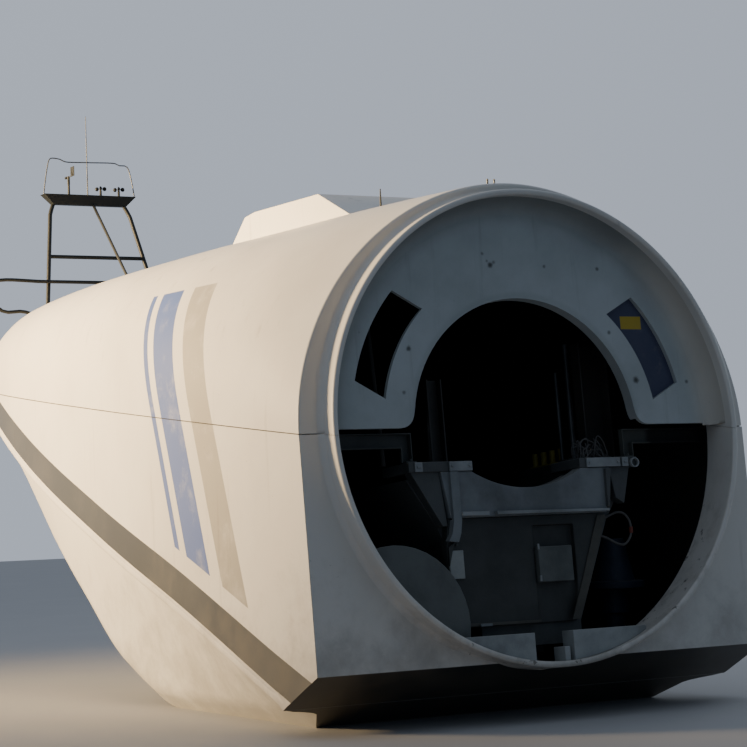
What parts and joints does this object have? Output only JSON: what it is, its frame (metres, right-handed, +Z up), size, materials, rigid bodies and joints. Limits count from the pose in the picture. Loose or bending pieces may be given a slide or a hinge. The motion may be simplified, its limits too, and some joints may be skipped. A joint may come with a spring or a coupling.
{
  "type": "wind turbine nacelle",
  "caption": "Hollow nacelle cover in two halves with a round rotor collar, a windowed front bulkhead, a machine frame inside, and a mast of wind instruments on the tail.",
  "frame": {"origin": "under the middle of the nacelle's box, at the floor that the belly rests on", "axes": "+Y along the nacelle from the rotor collar to the tail, +Z up, +X to the right seen from the front"},
  "size_m": [4.1998, 9.8124, 6.285],
  "materials": {
    "hull_white": "white gelcoat, weathered, satin",
    "face_grey": "dusty grey paint",
    "bulkhead_grey": "grey gelcoat, scuffed",
    "panel_blue": "dark blue satin paint",
    "casting_grey": "grey painted casting with dust",
    "drive_blue": "dark blue machine paint",
    "stud_yellow": "yellow caps",
    "steel": "galvanised steel",
    "mast_grey": "dark grey painted steel tube"
  },
  "bodies": {
    "root": {"upper_cover_front": "hull_white", "upper_cover_rear": "hull_white", "lower_cover_left": "hull_white", "lower_cover_right": "hull_white", "belly_front": "hull_white", "belly_rear": "hull_white", "front_collar_upper": "hull_white", "front_collar_lower": "hull_white", "roof_hood": "hull_white", "cable_plate": "hull_white", "front_bulkhead": "bulkhead_grey", "window_panel": "panel_blue", "collar_sill_left": "face_grey", "collar_sill_right": "face_grey", "sill_post": "face_grey", "junction_box": "face_grey", "duct_cover": "face_grey", "machine_frame": "casting_grey", "yaw_ring": "casting_grey", "gear_support": "casting_grey", "cradle_plate": "casting_grey", "front_casting": "casting_grey", "frame_pedestal_left": "casting_grey", "frame_pedestal_right": "casting_grey", "cover_bracket_left": "casting_grey", "cover_bracket_right": "casting_grey", "yaw_drive": "drive_blue", "capped_studs": "stud_yellow", "roof_pins": "steel", "guard_hoop": "steel", "lightning_rod": "steel", "guide_rods": "steel", "roof_antenna": "mast_grey", "mast_leg_left": "mast_grey", "mast_leg_right": "mast_grey", "mast_crossbar": "mast_grey", "mast_brace": "mast_grey", "mast_base_rail": "mast_grey", "instrument_tray": "mast_grey", "vane_post": "mast_grey", "cup_post_left": "mast_grey", "cup_post_right": "mast_grey"},
    "vane": {"wind_vane": "mast_grey"},
    "cups_left": {"cup_rotor_left": "mast_grey"},
    "cups_right": {"cup_rotor_right": "mast_grey"}
  },
  "joints": [
    {"name": "vane_turn", "type": "hinge", "parent": "root", "child": "vane", "pos_m": [-0.24, 4.4862, 5.49], "axis": [0, 0, 1], "continuous": true},
    {"name": "cups_left_spin", "type": "hinge", "parent": "root", "child": "cups_left", "pos_m": [0.15, 4.4862, 5.43], "axis": [0, 0, 1], "continuous": true},
    {"name": "cups_right_spin", "type": "hinge", "parent": "root", "child": "cups_right", "pos_m": [0.375, 4.4862, 5.43], "axis": [0, 0, 1], "continuous": true}
  ]
}
